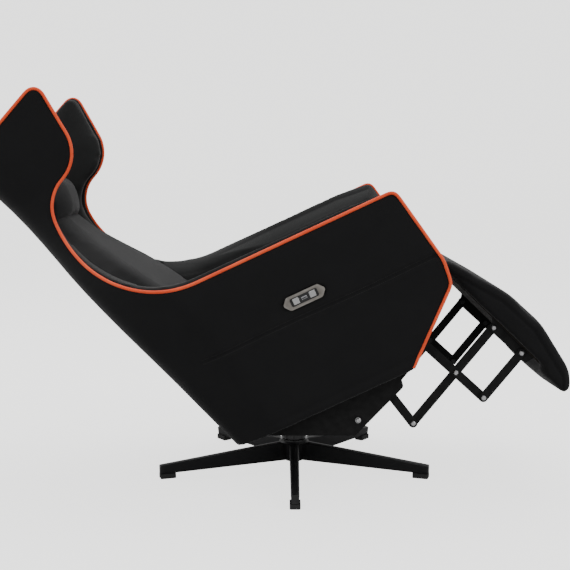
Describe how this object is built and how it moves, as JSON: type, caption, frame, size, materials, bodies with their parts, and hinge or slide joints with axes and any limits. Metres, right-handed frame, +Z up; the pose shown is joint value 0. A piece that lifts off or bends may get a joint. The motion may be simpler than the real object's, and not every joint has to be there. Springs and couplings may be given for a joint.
{
  "type": "reclining gaming chair",
  "caption": "Powered reclining lounge chair with wings, padded arms, a linked fold-out footrest and a star-shaped swivel base.",
  "frame": {"origin": "on the floor, under the middle of the reclined chair's overall box", "axes": "+X the way the chair faces, which is its longest extent with the footrest out; +Y the sitter's left; +Z up"},
  "size_m": [1.4118, 0.6981, 0.9486],
  "materials": {
    "base_metal": "satin black powder coat",
    "column_metal": "dark polished column",
    "glide_plastic": "moulded glides",
    "frame_metal": "black powder coat",
    "pin_metal": "zinc-plated steel",
    "actuator_shell": "moulded actuator housing",
    "rod_metal": "polished rod",
    "strap_web": "woven elastic webbing",
    "board_wood": "plywood",
    "board_stained": "black-stained plywood",
    "near_fabric": "black soft upholstery",
    "piping_cord": "orange-red piping",
    "bezel_metal": "satin taupe-grey bezel",
    "button_metal": "silver push buttons",
    "port_metal": "stamped socket shell"
  },
  "bodies": {
    "base": {"base_hub": "base_metal", "base_leg_1": "base_metal", "base_leg_2": "base_metal", "base_leg_3": "base_metal", "base_leg_4": "base_metal", "base_leg_5": "base_metal", "base_glides": "glide_plastic", "swivel_column": "column_metal"},
    "chassis": {"swivel_sleeve": "column_metal", "mount_plate": "frame_metal", "chassis_beam_rear": "frame_metal", "chassis_beam_front": "frame_metal", "chassis_plate_right": "frame_metal", "chassis_plate_left": "frame_metal", "tilt_bolts": "pin_metal", "motor_clevis": "frame_metal"},
    "motor": {"actuator_motor": "actuator_shell", "actuator_can": "actuator_shell"},
    "rod": {"actuator_rod": "rod_metal"},
    "seat": {"seat_rail_right": "frame_metal", "seat_rail_left": "frame_metal", "stay_studs": "pin_metal", "seat_tube_rear": "frame_metal", "seat_tube_middle": "frame_metal", "seat_tube_front": "frame_metal", "rod_clevis": "frame_metal", "seat_straps": "strap_web", "panel_blocks": "board_wood", "back_panel": "near_fabric", "side_panel_right": "near_fabric", "side_panel_left": "near_fabric", "shell_piping": "piping_cord", "arm_pad_right": "near_fabric", "arm_pad_left": "near_fabric", "seat_cushion": "near_fabric", "back_cushion": "near_fabric", "headrest_pillow": "near_fabric", "switch_bezel": "bezel_metal", "charge_port": "port_metal"},
    "carrier": {"carrier_right": "frame_metal", "carrier_left": "frame_metal", "carrier_rivets": "pin_metal", "torque_tube": "frame_metal"},
    "long_bar_right": {"long_bar_right": "frame_metal", "lower_rivet_right": "pin_metal"},
    "long_bar_left": {"long_bar_left": "frame_metal", "lower_rivet_left": "pin_metal"},
    "short_bar_right": {"short_bar_right": "frame_metal"},
    "short_bar_left": {"short_bar_left": "frame_metal"},
    "stay_right": {"stay_right": "frame_metal"},
    "stay_left": {"stay_left": "frame_metal"},
    "footrest": {"footrest_board": "board_stained", "footrest_bracket_right": "frame_metal", "footrest_bracket_left": "frame_metal", "footrest_cushion": "near_fabric", "footrest_rivets": "pin_metal"},
    "button_open": {"button_open": "button_metal"},
    "button_close": {"button_close": "button_metal"}
  },
  "joints": [
    {"name": "swivel", "type": "hinge", "parent": "base", "child": "chassis", "pos_m": [0.073, 0, 0.1], "axis": [0, 0, 1], "continuous": true},
    {"name": "recline", "type": "hinge", "parent": "chassis", "child": "seat", "pos_m": [0.22, 0, 0.184], "axis": [0, -1, 0], "range_deg": [-25, 0]},
    {"name": "footrest_fold", "type": "hinge", "parent": "seat", "child": "carrier", "pos_m": [0.32007, 0, 0.40825], "axis": [0, -1, 0], "range_deg": [-70, 0]},
    {"name": "long_bar_right_turn", "type": "hinge", "parent": "carrier", "child": "long_bar_right", "pos_m": [0.44951, -0.221, 0.29047], "axis": [0, -1, 0], "range_deg": [0, 70]},
    {"name": "long_bar_left_turn", "type": "hinge", "parent": "carrier", "child": "long_bar_left", "pos_m": [0.44951, 0.221, 0.29047], "axis": [0, -1, 0], "range_deg": [0, 70]},
    {"name": "short_bar_right_turn", "type": "hinge", "parent": "carrier", "child": "short_bar_right", "pos_m": [0.51437, -0.231, 0.23145], "axis": [0, -1, 0], "range_deg": [0, 70]},
    {"name": "short_bar_left_turn", "type": "hinge", "parent": "carrier", "child": "short_bar_left", "pos_m": [0.51437, 0.231, 0.23145], "axis": [0, -1, 0], "range_deg": [0, 70]},
    {"name": "stay_right_turn", "type": "hinge", "parent": "long_bar_right", "child": "stay_right", "pos_m": [0.35133, -0.226, 0.16923], "axis": [0, -1, 0], "range_deg": [-50.5, 0]},
    {"name": "stay_left_turn", "type": "hinge", "parent": "long_bar_left", "child": "stay_left", "pos_m": [0.35133, 0.226, 0.16923], "axis": [0, -1, 0], "range_deg": [-50.5, 0]},
    {"name": "footrest_turn", "type": "hinge", "parent": "long_bar_right", "child": "footrest", "pos_m": [0.53572, 0, 0.39694], "axis": [0, -1, 0], "range_deg": [-70, 0]},
    {"name": "motor_turn", "type": "hinge", "parent": "chassis", "child": "motor", "pos_m": [0.018, 0, 0.198], "axis": [0, -1, 0], "range_deg": [-10.84, 0]},
    {"name": "rod_slide", "type": "slide", "parent": "motor", "child": "rod", "axis": [0.8452, 0, 0.5345], "range_m": [0, 0.0454]},
    {"name": "button_open_press", "type": "slide", "parent": "seat", "child": "button_open", "axis": [0, 1, 0], "range_m": [0, 0.0015], "stiffness_N_per_m": 900},
    {"name": "button_close_press", "type": "slide", "parent": "seat", "child": "button_close", "axis": [0, 1, 0], "range_m": [0, 0.0015], "stiffness_N_per_m": 900}
  ],
  "couplings": [
    {"joint": "footrest_fold", "follows": "recline", "ratio": 2.8},
    {"joint": "long_bar_right_turn", "follows": "recline", "ratio": -2.8},
    {"joint": "long_bar_left_turn", "follows": "recline", "ratio": -2.8},
    {"joint": "short_bar_right_turn", "follows": "recline", "ratio": -2.8},
    {"joint": "short_bar_left_turn", "follows": "recline", "ratio": -2.8},
    {"joint": "footrest_turn", "follows": "recline", "ratio": 2.8},
    {"joint": "stay_right_turn", "follows": "recline", "ratio": 2.02},
    {"joint": "stay_left_turn", "follows": "recline", "ratio": 2.02},
    {"joint": "motor_turn", "follows": "recline", "ratio": 0.4334},
    {"joint": "rod_slide", "follows": "recline", "m_per_rad": -0.10383}
  ]
}
